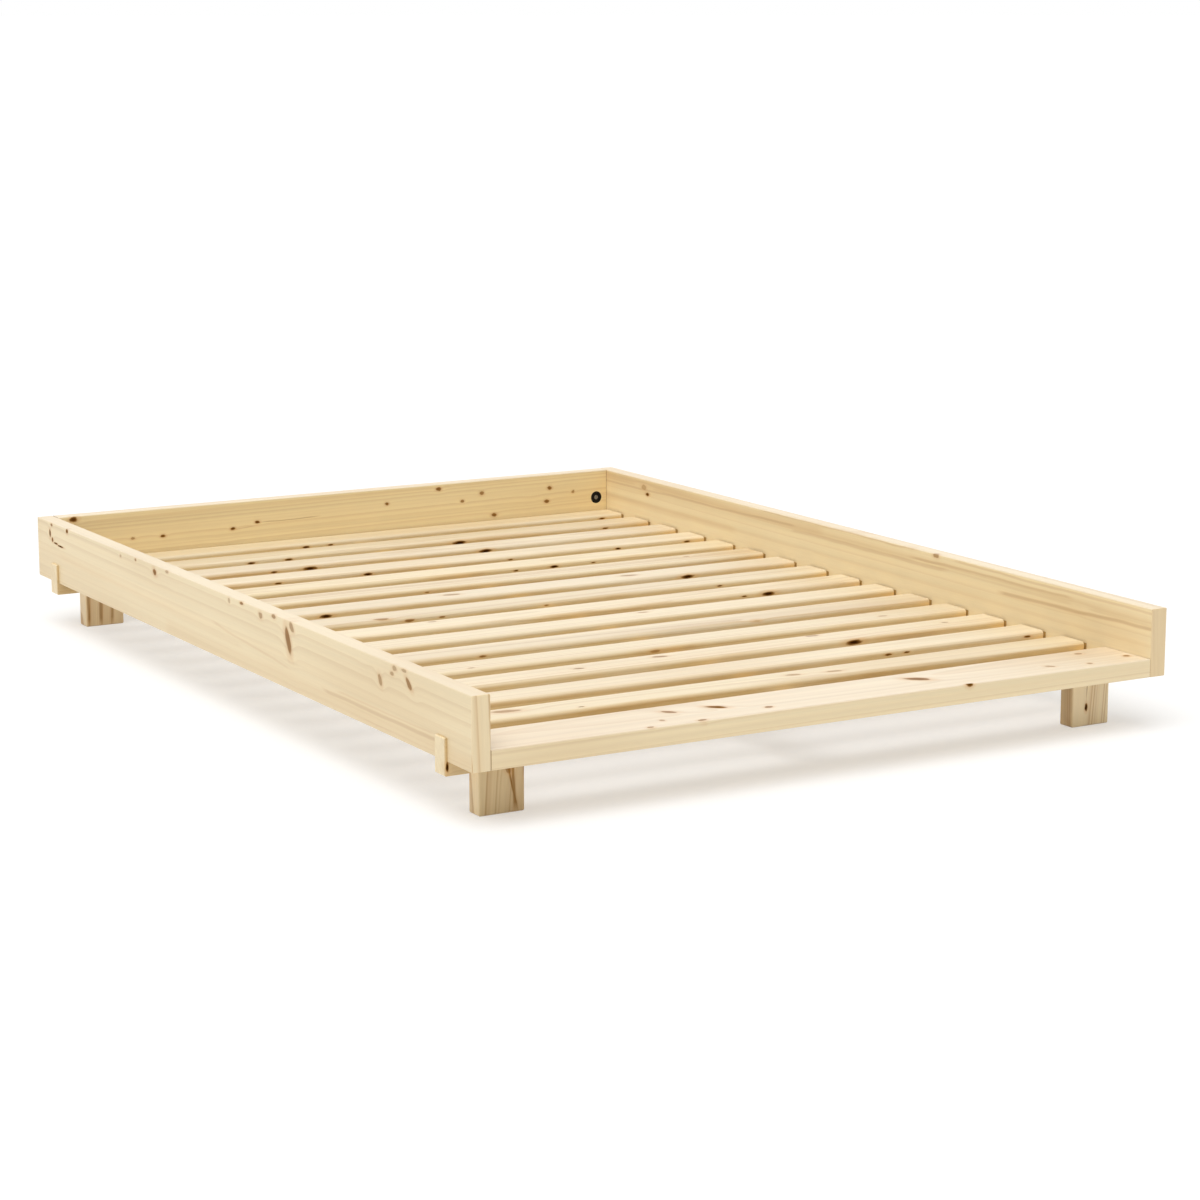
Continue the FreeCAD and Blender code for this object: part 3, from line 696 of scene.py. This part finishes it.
# %% Boards
# Painted sheen: the upper edge of each board is tinted whiter, standing for the grazing gloss on the tops.
TOP_EDGE_PAINTED_SHEEN = (0.98, 0.99, 1.08, 1.0)
BOARDS = {
    "left_side_board": Plank(
        GRAIN_ALONG_Y, seed=1.7, pith=(-0.16, -0.11), lean=(0.008, 0.004), ring=0.011, contrast=0.28, face=-1,
        edge_tint=TOP_EDGE_PAINTED_SHEEN, knots=LEFT_KNOTS, veins=LEFT_VEINS, end_contrast=1.7,
        end_tint=(1.0, 0.98, 0.96, 1), slats_at=1),
    # The right board's lighter tint is painted light, making up for the dim light on its inner face.
    "right_side_board": Plank(
        GRAIN_ALONG_Y, seed=5.2, pith=(0.20, 0.09), lean=(0.004, 0.006), ring=0.013, contrast=0.25, face=-1,
        tint=(1.11, 1.13, 1.13, 1), edge_tint=TOP_EDGE_PAINTED_SHEEN, knots=RIGHT_KNOTS, veins=RIGHT_VEINS,
        end_contrast=0.3, end_tint=(0.95, 0.90, 0.83, 1), slats_at=-1),
    # The back board's lighter tint is painted light, making up for the dim light on its inner face.
    "back_board": Plank(
        GRAIN_ALONG_X_ON_EDGE, seed=9.1, pith=(-0.14, -0.10), lean=(0.006, 0.010), ring=0.008, contrast=0.35,
        tint=(1.10, 1.09, 0.98, 1), edge_tint=TOP_EDGE_PAINTED_SHEEN, knots=BACK_KNOTS, veins=BACK_VEINS, joint_ends=True),
    # The front board's face tint is painted sheen: its top face is tinted whiter and bluer.
    "front_board": Plank(
        GRAIN_ALONG_X_FLAT, seed=12.4, pith=(0.03, -0.12), lean=(0.010, 0.014), ring=0.007, contrast=0.3,
        tint=(1.0, 0.99, 0.97, 1), face_tint=(0.98, 1.0, 1.16, 1), knots=FRONT_KNOTS, joint_ends=True),
}
for name, plank in BOARDS.items():
    put_on(name, plank_material(name, plank))
print("boards finished", list(BOARDS))

# %% [markdown]
# ## Bearers, ledgers, rail and legs
# The beams are plainer pine. The fronts of the bearers lie in the shade of the boards, which a darker tint
# deepens. The legs stand with the grain upright, so their faces show dark straight lines, and end grain
# meets the floor.

# %% Beams
# Painted shade: the bearer fronts under the boards are tinted darker.
BEARER_FRONT_PAINTED_SHADE = (0.75, 0.66, 0.50, 1.0)
# A small dark spot on the front bearer beside its left hook, drawn with the knot group.
HOOK_DARK_SPOT = [Knot(-0.7355, -0.017, 0.003, 0.010, 1.0)]
BEAMS = {
    "front_bearer": Plank(GRAIN_ALONG_X_ON_EDGE, seed=15.3, pith=(-0.10, -0.12), contrast=0.3, knots=HOOK_DARK_SPOT,
                          face_tint=BEARER_FRONT_PAINTED_SHADE),
    "back_bearer": Plank(GRAIN_ALONG_X_ON_EDGE, seed=17.9, pith=(-0.10, -0.12), contrast=0.3,
                         face_tint=BEARER_FRONT_PAINTED_SHADE),
    "left_slat_ledger": Plank(GRAIN_ALONG_Y, seed=20.5, pith=(0.03, -0.05)),
    "right_slat_ledger": Plank(GRAIN_ALONG_Y, seed=23.1, pith=(0.03, 0.05)),
    "centre_rail": Plank(GRAIN_ALONG_Y, seed=25.7, pith=(0.03, 0.05)),
}
for name, plank in BEAMS.items():
    put_on(name, plank_material(name, plank))
print("beams finished", list(BEAMS))

# %% Legs
FRONT_LEFT_VEINS = [
    Vein(-0.06, 0.06, 0.019, 0.0035, 0.8, -0.22), Vein(-0.06, 0.06, 0.022, 0.005, 0.75, -0.06),
    Vein(-0.005, 0.06, 0.041, 0.003, 0.7), Vein(-0.06, -0.012, 0.027, 0.005, 0.6),
]
FRONT_LEFT_KNOTS = [Knot(0.030, 0.012, 0.009, 0.006, 0.35, 0.4), Knot(0.037, 0.017, 0.005, 0.007, 0.7)]
BACK_LEFT_VEINS = [
    Vein(-0.06, 0.06, -0.037, 0.006, 0.7), Vein(-0.06, 0.06, -0.008, 0.007, 0.7),
    Vein(-0.06, 0.06, 0.017, 0.006, 0.6),
]
FRONT_RIGHT_VEINS = [Vein(-0.006, 0.06, -0.010, 0.001, 1.0)]
FRONT_RIGHT_KNOTS = [Knot(-0.011, -0.011, 0.008, 0.0035, 1.0)]
FIRST_LEG_SEED = 30
LEG_SEED_STEP = 2.3
LEGS = {
    # Painted shade: the front left leg's front face tint is darker, for the shade under the overhang.
    "front_left_leg": dict(pith=(0.09, 0.06), tint=(1.02, 0.98, 0.92, 1), face_tint=(0.80, 0.74, 0.62, 1),
                           veins=FRONT_LEFT_VEINS, knots=FRONT_LEFT_KNOTS),
    # Painted shade: the front right leg is darkened on every face but the front, for the shade that the bed
    # casts on its sides.
    "front_right_leg": dict(pith=(-0.03, -0.05), tint=(0.72, 0.64, 0.52, 1), face_tint=(0.98, 0.97, 0.96, 1),
                            veins=FRONT_RIGHT_VEINS, knots=FRONT_RIGHT_KNOTS),
    "back_left_leg": dict(pith=(0.05, 0.02), tint=(0.98, 0.95, 0.92, 1), veins=BACK_LEFT_VEINS),
    "back_right_leg": dict(pith=(-0.05, 0.02), tint=(0.95, 0.93, 0.90, 1)),
    "centre_leg": dict(pith=(0.05, -0.03), tint=(0.95, 0.93, 0.90, 1)),
}
for number, (name, wood) in enumerate(LEGS.items()):
    seed = FIRST_LEG_SEED + LEG_SEED_STEP * number
    put_on(name, plank_material(
        name, Plank(GRAIN_ALONG_Z, seed, lean=(0.05, 0.03), contrast=0.8, face=-1, **wood)))
print("legs finished", list(LEGS))

# %% [markdown]
# ## The slats
# Fifteen laths of one size lie in a row. Copies of one finished lath would all have the same grain. So a
# Geometry Nodes tree makes one lath by sweeping a rounded outline along a line, puts a copy on each of
# fifteen points and joins them into one mesh. Each point also carries its lath's place in the tree and its
# knots, as attributes that the copies inherit, and one material gives every lath a different cut of wood.
# The lath's own coordinates are stored before it is copied, because the pattern has to follow each lath and
# not the row.

# %% Slat knots
SLAT_NAMES = sorted(name for name in nodes if name.removeprefix("slat_").isdigit())
KNOTS_PER_SLAT = 6
FRONT_EDGE = -0.0375


class SlatKnot(NamedTuple):
    """A knot in metres of its lath: middle, half size across and darkness."""
    along: float
    across: float
    radius: float
    depth: float


def edge_knots(*marks):
    """Knots on the front edge of a lath, from (along, radius, depth)."""
    return [SlatKnot(along, FRONT_EDGE, radius, depth) for along, radius, depth in marks]


NO_KNOT = SlatKnot(9.0, 9.0, 0.0, 0.0)
SLAT_KNOTS = {
    1: [SlatKnot(-0.415, -0.026, 0.003, 0.7), SlatKnot(0.047, 0.002, 0.008, 0.3),
        SlatKnot(0.130, -0.010, 0.008, 0.3), SlatKnot(-0.545, 0.010, 0.013, 0.35)],
    2: edge_knots((0.322, 0.0045, 0.7), (0.365, 0.0037, 0.7), (0.655, 0.0045, 0.7)),
    3: [*edge_knots((0.331, 0.011, 1.0)), SlatKnot(-0.264, -0.004, 0.006, 0.4),
        SlatKnot(-0.081, 0.010, 0.008, 0.4), SlatKnot(0.273, 0.024, 0.007, 0.3),
        SlatKnot(0.575, 0.0, 0.004, 0.4)],
    4: [*edge_knots((-0.044, 0.006, 0.3)), SlatKnot(-0.433, -0.024, 0.004, 0.4),
        SlatKnot(0.506, -0.010, 0.005, 0.3)],
    5: [*edge_knots((-0.350, 0.0045, 0.5)), SlatKnot(0.268, -0.032, 0.006, 0.4)],
    6: [SlatKnot(0.110, 0.015, 0.006, 0.3), *edge_knots((-0.520, 0.0037, 0.5))],
    7: [*edge_knots((0.401, 0.0037, 0.8), (0.461, 0.009, 1.0)), SlatKnot(-0.300, 0.020, 0.005, 0.3)],
    8: [*edge_knots((-0.317, 0.006, 0.5), (-0.243, 0.0037, 0.5), (-0.002, 0.003, 0.5), (0.419, 0.0037, 0.8)),
        SlatKnot(-0.375, -0.029, 0.008, 0.4)],
    9: [*edge_knots((-0.442, 0.0075, 1.0), (0.416, 0.009, 1.0)), SlatKnot(-0.138, 0.002, 0.010, 0.3),
        SlatKnot(0.291, 0.003, 0.010, 0.3)],
    10: [SlatKnot(0.520, 0.010, 0.004, 0.4), *edge_knots((-0.150, 0.003, 0.5))],
    11: edge_knots((0.131, 0.0037, 0.8), (0.226, 0.006, 1.0), (0.326, 0.003, 0.7)),
    12: edge_knots((-0.379, 0.0045, 0.8), (-0.167, 0.006, 1.0), (0.185, 0.0037, 0.6), (0.463, 0.0045, 1.0),
                   (0.648, 0.0045, 0.8)),
    13: edge_knots((-0.332, 0.0045, 0.9), (-0.247, 0.009, 1.0), (0.189, 0.009, 1.0)),
    14: edge_knots((-0.331, 0.0052, 0.9), (-0.241, 0.0052, 0.8), (0.187, 0.010, 1.0), (0.576, 0.0045, 0.7)),
    15: edge_knots((-0.142, 0.0052, 0.9), (-0.080, 0.0037, 0.8), (0.640, 0.0045, 0.8)),
}
print("slat knots", sum(len(knots) for knots in SLAT_KNOTS.values()))

# %% Slat material
SLAT_KNOT_EDGE = (-0.034, -0.030)
SLAT_KNOT_HEIGHT = (0.002, 0.010)
SLAT_KNOT_SLANT = (0.0, 0.8)
SLAT_KNOT_STRETCH = (1.9, 0.8, 0.5)
SLAT_RING = 0.0048
SLAT_CONTRAST = 0.5
# The slat edge tint is partly the darker, golden tone of wane on the front edges and partly painted shade in
# the gaps between slats.
SLAT_EDGE_TONE_AND_SHADE = (0.90, 0.78, 0.56, 1.0)
EDGE_ACROSS = (-0.0315, -0.0365)
EDGE_HEIGHT = (0.0095, 0.001)
WANE = (4.0, 45.0, 45.0)
WANE_REACH = 0.012
WANE_SHARE = (0.54, 0.68, 0.0, 0.35)


def slat_material():
    """Pine that reads each lath's seed, pith and knots from the mesh."""
    material = new_material("pine_slats")
    tree = material.node_tree

    def read(name):
        made = tree.nodes.new("ShaderNodeAttribute")
        made.attribute_name = name
        return made.outputs

    place = read("lath_place")["Vector"]
    branches = []
    for number in range(1, KNOTS_PER_SLAT + 1):
        along, across, radius = split(tree, read(f"knot_{number}")["Vector"])
        height = rescale(tree, across, *SLAT_KNOT_EDGE, *SLAT_KNOT_HEIGHT)
        found = use_group(
            tree, KNOT, place=place, centre=joined(tree, along, across, height), radius=radius,
            stretch=SLAT_KNOT_STRETCH, slant=rescale(tree, across, *SLAT_KNOT_EDGE, *SLAT_KNOT_SLANT))
        branches.append((found, read(f"knot_depth_{number}")["Fac"]))
    seed = read("seed")["Fac"]
    _, across, height = split(tree, place)
    bark = stretched_noise(tree, place, WANE, seed, detail=3).outputs[0]
    reach = sum_node(tree, "MULTIPLY", sum_node(tree, "SUBTRACT", NOISE_MIDDLE, bark), WANE_REACH)
    # The front edge of each lath gets a darker golden tint: partly wood tone, partly painted shade.
    edge = product(tree, rescale(tree, sum_node(tree, "ADD", across, reach), *EDGE_ACROSS),
                   rescale(tree, sum_node(tree, "ADD", height, reach), *EDGE_HEIGHT))
    wane = product(tree, rescale(tree, bark, *WANE_SHARE), edge)
    finish_wood(tree, marked_wood(
        tree, place, branches, [wane], seed=seed, pith=read("pith")["Vector"], lean=read("lean")["Vector"],
        ring=SLAT_RING, contrast=SLAT_CONTRAST,
        tint=blend_colours(tree, edge, read("tint")["Color"], SLAT_EDGE_TONE_AND_SHADE)))
    return material


SLAT_PINE = slat_material()
print("material", SLAT_PINE.name, len(SLAT_PINE.node_tree.nodes), "nodes")

# %% Points that carry the laths
LATH_DRAW_SEED = 7
LATH_SEEDS = (40, 90)
LATH_PITH_ACROSS = (-0.05, 0.05)
LATH_PITH_DEPTHS = (-0.08, -0.05, 0.05, 0.08)
LATH_LEAN = (-0.02, 0.02)
LATH_LIGHT = (0.94, 1.01)
LATH_WARMTH = (-0.16, -0.02)
GREEN_PART = 1 / 6


def lath_points():
    """A mesh of one point for each slat, with the slat's wood written on it."""
    mesh = bpy.data.meshes.new("slat_row")
    boxes = [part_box(name) for name in SLAT_NAMES]
    mesh.from_pydata([(low + high) / 2 for low, high in boxes], [], [])
    rows = range(1, len(boxes) + 1)
    draw = random.Random(LATH_DRAW_SEED)

    def write(name, kind, field, values):
        data = mesh.attributes.new(name, kind, "POINT").data
        for item, value in zip(data, values):
            setattr(item, field, value)

    def pith():
        return 0, draw.uniform(*LATH_PITH_ACROSS), draw.choice(LATH_PITH_DEPTHS)

    def lean():
        return 0, draw.uniform(*LATH_LEAN), draw.uniform(*LATH_LEAN)

    def tint():
        light, warmth = draw.uniform(*LATH_LIGHT), draw.uniform(*LATH_WARMTH)
        return light, light * (1 - warmth * GREEN_PART), light * (1 - warmth), 1

    write("seed", "FLOAT", "value", [draw.uniform(*LATH_SEEDS) for _ in rows])
    write("pith", "FLOAT_VECTOR", "vector", [pith() for _ in rows])
    write("lean", "FLOAT_VECTOR", "vector", [lean() for _ in rows])
    write("tint", "FLOAT_COLOR", "color", [tint() for _ in rows])
    filled = [(SLAT_KNOTS.get(row, []) + [NO_KNOT] * KNOTS_PER_SLAT)[:KNOTS_PER_SLAT] for row in rows]
    for number, knots in enumerate(zip(*filled), start=1):
        write(f"knot_{number}", "FLOAT_VECTOR", "vector", [knot[:3] for knot in knots])
        write(f"knot_depth_{number}", "FLOAT", "value", [knot.depth for knot in knots])
    return mesh


lath_mesh = lath_points()
print("points", len(lath_mesh.vertices), "with", len(lath_mesh.attributes), "attributes")


# %% Tree that makes the laths
def lath_tree():
    """The tree that turns the points into rounded laths."""
    tree = bpy.data.node_groups.new("slat_row", "GeometryNodeTree")
    sockets = [("Geometry", "Geometry"), ("Length", "Float"), ("Width", "Float"), ("Thickness", "Float"),
               ("Top radius", "Float"), ("Under radius", "Float"), ("Edge steps", "Int"),
               ("Finish", "Material")]
    for label, kind in sockets:
        tree.interface.new_socket(label, in_out="INPUT", socket_type=f"NodeSocket{kind}")
    tree.interface.new_socket("Geometry", in_out="OUTPUT", socket_type="NodeSocketGeometry")
    given = tree.nodes.new("NodeGroupInput").outputs

    def add(kind, **values):
        made = tree.nodes.new(f"GeometryNode{kind}")
        for label, value in values.items():
            feed(tree, made.inputs[label.replace("_", " ")], value)
        return made

    outline = add("CurvePrimitiveQuadrilateral", Width=given["Width"], Height=given["Thickness"])
    _, height, _ = split(tree, add("InputPosition").outputs[0])
    radius = add("Switch")
    radius.input_type = "FLOAT"
    feed(tree, radius.inputs["False"], given["Under radius"])
    feed(tree, radius.inputs["True"], given["Top radius"])
    # The sweep turns the outline over, so its lower half becomes the top of the lath.
    feed(tree, radius.inputs["Switch"], sum_node(tree, "LESS_THAN", height, 0.0))
    rounded = add("FilletCurve", Curve=outline.outputs[0], Radius=radius.outputs[0])
    rounded.mode = "POLY"
    feed(tree, rounded.inputs["Count"], given["Edge steps"])
    end = joined(tree, sum_node(tree, "MULTIPLY", given["Length"], 0.5))
    line = add("CurvePrimitiveLine", Start=vector_node(tree, "MULTIPLY", end, (-1, -1, -1)), End=end)
    lath = add("CurveToMesh", Curve=line.outputs[0], Profile_Curve=rounded.outputs[0], Fill_Caps=True)
    own = add("StoreNamedAttribute", Geometry=lath.outputs[0], Name="lath_place")
    own.data_type = "FLOAT_VECTOR"
    own.domain = "POINT"
    feed(tree, own.inputs["Value"], add("InputPosition").outputs[0])
    row = add("InstanceOnPoints", Points=given["Geometry"], Instance=own.outputs[0])
    laths = add("RealizeInstances", Geometry=row.outputs[0])
    finished = add("SetMaterial", Geometry=laths.outputs[0], Material=given["Finish"])
    feed(tree, tree.nodes.new("NodeGroupOutput").inputs[0], finished.outputs[0])
    return tree


row_tree = lath_tree()
print("tree", row_tree.name, len(row_tree.nodes), "nodes")

# %% Slat row
SLAT_TOP_RADIUS = 0.007
SLAT_UNDER_RADIUS = 0.0015
SLAT_EDGE_STEPS = 8
low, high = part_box(SLAT_NAMES[0])
slat_size = high - low
maker = bpy.data.objects.new("slat_row_points", lath_mesh)
bpy.context.scene.collection.objects.link(maker)
modifier = maker.modifiers.new("slat_row", "NODES")
modifier.node_group = row_tree
settings = {"Length": slat_size.x, "Width": slat_size.y, "Thickness": slat_size.z,
            "Top radius": SLAT_TOP_RADIUS, "Under radius": SLAT_UNDER_RADIUS, "Edge steps": SLAT_EDGE_STEPS,
            "Finish": SLAT_PINE}
for item in row_tree.interface.items_tree:
    if item.in_out == "INPUT" and item.name in settings:
        modifier[item.identifier] = settings[item.name]
bpy.context.view_layer.update()
slat_mesh = bpy.data.meshes.new_from_object(maker.evaluated_get(bpy.context.evaluated_depsgraph_get()))
bpy.data.objects.remove(maker)
slat_row = bpy.data.objects.new("slat_row", slat_mesh)
bpy.context.scene.collection.objects.link(slat_row)
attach(slat_row, "bed")
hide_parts(*SLAT_NAMES)
print("slat row", len(slat_mesh.polygons), "faces for", len(SLAT_NAMES), "slats of", slat_size)

# %% [markdown]
# ## Connectors and small fasteners
# The cam housings are moulded black plastic with a fine matt skin. The cams are cast zinc, the bolts and
# brads plated steel, and the loose tenons plain beech. One even value would do for a part this small, but
# cast and plated metal is never quite even, so roughness and skin come from fine noise.

# %% Metal, plastic and beech
SPECK_DARKER = 0.8
SPECK_RANGE = (0.3, 0.7)


def speckled_material(name, base, roughness, grain, bump_size, metallic=0.0, specular=0.5):
    """A smooth material whose roughness and skin vary in fine specks."""
    material = new_material(name)
    tree = material.node_tree
    shader = tree.nodes["Principled BSDF"]
    shader.inputs["Metallic"].default_value = metallic
    shader.inputs["Specular IOR Level"].default_value = specular
    place = tree.nodes.new("ShaderNodeTexCoord").outputs["Object"]
    speck = stretched_noise(tree, place, (grain, grain, grain), 0.0, detail=3).outputs[0]
    darker = (*(SPECK_DARKER * part for part in base[:3]), 1.0)
    tree.links.new(blend_colours(tree, speck, darker, base), shader.inputs["Base Color"])
    tree.links.new(rescale(tree, speck, *SPECK_RANGE, *roughness), shader.inputs["Roughness"])
    bump = tree.nodes.new("ShaderNodeBump")
    bump.inputs["Distance"].default_value = bump_size
    tree.links.new(speck, bump.inputs["Height"])
    tree.links.new(bump.outputs["Normal"], shader.inputs["Normal"])
    return material


HOUSING_BLACK = speckled_material(
    "housing_black", colour(12, 12, 13), roughness=(0.5, 0.65), grain=1800, bump_size=0.00004, specular=0.15)
CAM_ZINC = speckled_material(
    "cam_zinc", colour(152, 152, 150), roughness=(0.42, 0.58), grain=900, bump_size=0.00005, metallic=1.0)
PLATED_STEEL = speckled_material(
    "plated_steel", colour(190, 190, 192), roughness=(0.25, 0.4), grain=700, bump_size=0.00002, metallic=1.0)
BEECH = speckled_material(
    "tenon_beech", colour(214, 172, 128), roughness=(0.5, 0.65), grain=300, bump_size=0.0001)
FINISH_BY_ENDING = {"_cam_housing": HOUSING_BLACK, "_cam": CAM_ZINC, "_cam_bolt": PLATED_STEEL,
                    "_brads": PLATED_STEEL, "_tenons": BEECH}
for name in nodes:
    for ending, finish in FINISH_BY_ENDING.items():
        if name.endswith(ending):
            put_on(name, finish)
print("connectors finished in", [finish.name for finish in (HOUSING_BLACK, CAM_ZINC, PLATED_STEEL, BEECH)])

# %% [markdown]
# ## Floor and light
# A plain pale floor runs out to a white sky. Most of the light is soft and comes from all round. A broad
# soft lamp high on the left shapes the boards, so that the tops are brightest and the foot side is a little
# darker. A faint lamp behind the head end grazes the planed tops and gives them their silky sheen. Sky and
# floor are lifted to full white only where the camera or a gloss looks at them, so the shadow stays.

# %% Floor
FLOOR_HALF = 900.0
FLOOR_PALE = 0.96
FLOOR_SEEN = 0.62
FLOOR_LIFT = 0.42


def background_seen(tree):
    """One where the camera, a gloss or a clear material looks, zero for the rays that light the bed."""
    path = tree.nodes.new("ShaderNodeLightPath").outputs
    return strongest(tree, [path["Is Camera Ray"], path["Is Glossy Ray"], path["Is Transmission Ray"]])


def make_floor():
    """A wide pale floor that keeps the bed's shadow."""
    mesh = bpy.data.meshes.new("studio_floor")
    edge = FLOOR_HALF
    corners = [(-edge, -edge, 0), (edge, -edge, 0), (edge, edge, 0), (-edge, edge, 0)]
    mesh.from_pydata(corners, [], [(0, 1, 2, 3)])
    floor = bpy.data.objects.new("studio_floor", mesh)
    bpy.context.scene.collection.objects.link(floor)
    material = new_material("studio_floor")
    tree = material.node_tree
    shader = tree.nodes["Principled BSDF"]
    seen = background_seen(tree)
    tree.links.new(rescale(tree, seen, 0, 1, FLOOR_PALE, FLOOR_SEEN), shader.inputs["Base Color"])
    shader.inputs["Roughness"].default_value = 1.0
    shader.inputs["Specular IOR Level"].default_value = 0.0
    shader.inputs["Emission Color"].default_value = (1, 1, 1, 1)
    tree.links.new(rescale(tree, seen, 0, 1, 0.0, FLOOR_LIFT), shader.inputs["Emission Strength"])
    mesh.materials.append(material)
    return floor


floor = make_floor()
print("floor", floor.name)

# %% Light
SKY_LEVEL = 0.48
SUN_FROM = Vector((-0.35, -0.2, 1.0))
SUN_SPREAD_DEG = 55.0
SUN_LEVEL = 0.58
BACK_FROM = Vector((0.35, 0.85, 0.32))
BACK_SPREAD_DEG = 60.0
BACK_LEVEL = 0.07


def make_sky():
    """An even white sky, at a plain level for the bed and full white for the camera."""
    world = bpy.data.worlds.new("studio_sky")
    world.use_nodes = True
    tree = world.node_tree
    background = tree.nodes["Background"]
    background.inputs["Color"].default_value = (1, 1, 1, 1)
    tree.links.new(rescale(tree, background_seen(tree), 0, 1, SKY_LEVEL, 1.0), background.inputs["Strength"])
    bpy.context.scene.world = world


def make_lamp(name, towards, spread, level):
    """A broad soft lamp far away; its level is the brightness of a white card that faces it."""
    lamp = bpy.data.lights.new(name, "SUN")
    lamp.angle = math.radians(spread)
    lamp.energy = level * math.pi
    made = bpy.data.objects.new(name, lamp)
    made.rotation_euler = towards.to_track_quat("Z", "Y").to_euler()
    bpy.context.scene.collection.objects.link(made)


make_sky()
make_lamp("main_lamp", SUN_FROM, SUN_SPREAD_DEG, SUN_LEVEL)
make_lamp("back_lamp", BACK_FROM, BACK_SPREAD_DEG, BACK_LEVEL)
bpy.context.scene.view_settings.view_transform = "Standard"
print("lit by sky", SKY_LEVEL, "main", SUN_LEVEL, "back", BACK_LEVEL)
